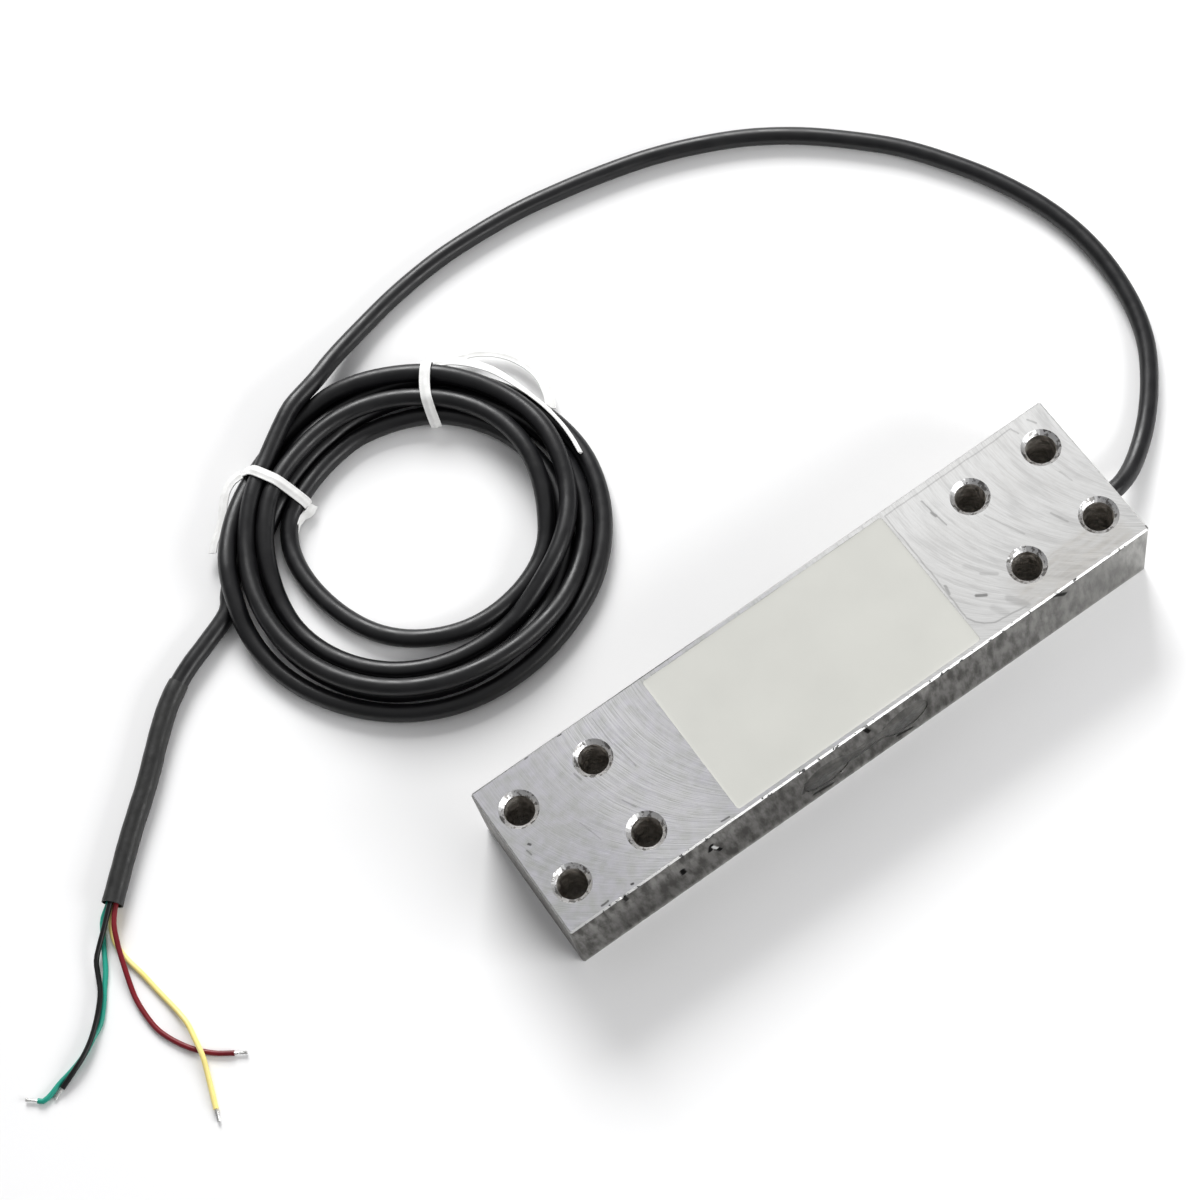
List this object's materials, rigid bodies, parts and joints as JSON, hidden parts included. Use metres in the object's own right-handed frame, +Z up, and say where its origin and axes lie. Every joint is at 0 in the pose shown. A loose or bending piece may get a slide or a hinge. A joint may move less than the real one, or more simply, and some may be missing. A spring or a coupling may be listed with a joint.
{
  "type": "single point load cell",
  "caption": "Aluminium bar load cell with a potted middle, eight tapped holes and a coiled signal cable with bare cores.",
  "frame": {"origin": "centre of the bar's bottom face, which rests on the surface; the cable is left out of the box", "axes": "+X along the bar towards the cable end, +Y towards the coil behind the bar, +Z up through the potted face"},
  "size_m": [0.3077, 0.1629, 0.022],
  "materials": {
    "aluminium": "milled, with fine curved tool marks",
    "silicone": "off-white silicone, flush and smooth",
    "seal_compound": "grey-brown sealing compound",
    "gauge_foil": "amber film with metal foil",
    "board": "green solder board",
    "resistor": "dark ceramic chip",
    "enamelled_wire": "enamelled copper",
    "cable_jacket": "black, softly glossy",
    "shrink_sleeve": "black, satin",
    "white_tie": "white, creased",
    "red_insulation": "smooth",
    "yellow_insulation": "smooth",
    "black_insulation": "smooth",
    "green_insulation": "smooth",
    "tinned_wire": "tinned strands"
  },
  "bodies": {
    "root": {"spring_element": "aluminium", "potting_top": "silicone", "potting_bottom": "silicone", "side_seal_front": "seal_compound", "side_seal_back": "seal_compound", "cable_seal": "seal_compound", "gauge_top_left": "gauge_foil", "gauge_top_right": "gauge_foil", "gauge_bottom_left": "gauge_foil", "gauge_bottom_right": "gauge_foil", "terminal_board_top": "board", "terminal_board_bottom": "board", "balance_resistor_top": "resistor", "balance_resistor_bottom": "resistor", "jumper_top_left_a": "enamelled_wire", "jumper_top_left_b": "enamelled_wire", "jumper_top_right_a": "enamelled_wire", "jumper_top_right_b": "enamelled_wire", "jumper_bottom_left_a": "enamelled_wire", "jumper_bottom_left_b": "enamelled_wire", "jumper_bottom_right_a": "enamelled_wire", "jumper_bottom_right_b": "enamelled_wire", "inner_core_red": "red_insulation", "inner_core_black": "black_insulation", "inner_core_green": "green_insulation", "inner_core_yellow": "yellow_insulation", "cable_lead": "cable_jacket", "cable_coil": "cable_jacket", "cable_tail": "cable_jacket", "end_sleeve": "shrink_sleeve", "tie_right": "white_tie", "tie_left": "white_tie", "core_red": "red_insulation", "core_yellow": "yellow_insulation", "core_black": "black_insulation", "core_green": "green_insulation", "tip_red": "tinned_wire", "tip_yellow": "tinned_wire", "tip_black": "tinned_wire", "tip_green": "tinned_wire"}
  },
  "joints": []
}
